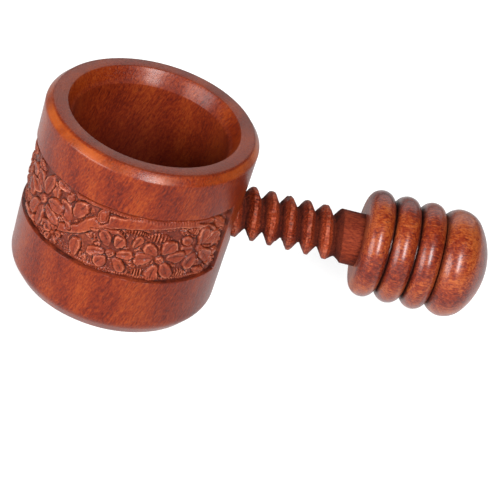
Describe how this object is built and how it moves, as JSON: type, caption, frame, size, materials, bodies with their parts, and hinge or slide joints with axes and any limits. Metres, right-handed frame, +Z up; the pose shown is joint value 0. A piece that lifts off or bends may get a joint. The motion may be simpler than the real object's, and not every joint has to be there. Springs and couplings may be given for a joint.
{
  "type": "screw nutcracker",
  "caption": "Turned wooden cup with a carved band, and a wooden screw with a beaded knob that presses a nut against the cup's wall.",
  "frame": {"origin": "middle of the cup's flat base", "axes": "+Z up along the cup's axis, +X along the screw towards the knob, +Y by the right-hand rule"},
  "size_m": [0.1488, 0.0684, 0.0624],
  "materials": {
    "polished_wood": "polished reddish-brown rosewood, carved band slightly more matte",
    "bare_wood": "reddish-brown rosewood, threads cut by hand and nearly matte",
    "polished_knob_wood": "glossy figured rosewood",
    "dowel_wood": "plain hardwood"
  },
  "bodies": {
    "cup": {"cup": "polished_wood"},
    "carrier": {"joining_dowel": "dowel_wood"},
    "screw_and_knob": {"screw": "bare_wood", "knob": "polished_knob_wood"}
  },
  "joints": [
    {"name": "screw_travel", "type": "slide", "parent": "cup", "child": "carrier", "axis": [-1, 0, 0], "range_m": [-0.0059, 0.0295]},
    {"name": "screw_turn", "type": "hinge", "parent": "carrier", "child": "screw_and_knob", "pos_m": [0, 0, 0.0358], "axis": [-1, 0, 0], "range_deg": [-360, 1800]}
  ],
  "couplings": [
    {"joint": "screw_travel", "follows": "screw_turn", "m_per_rad": 0.00093901}
  ]
}
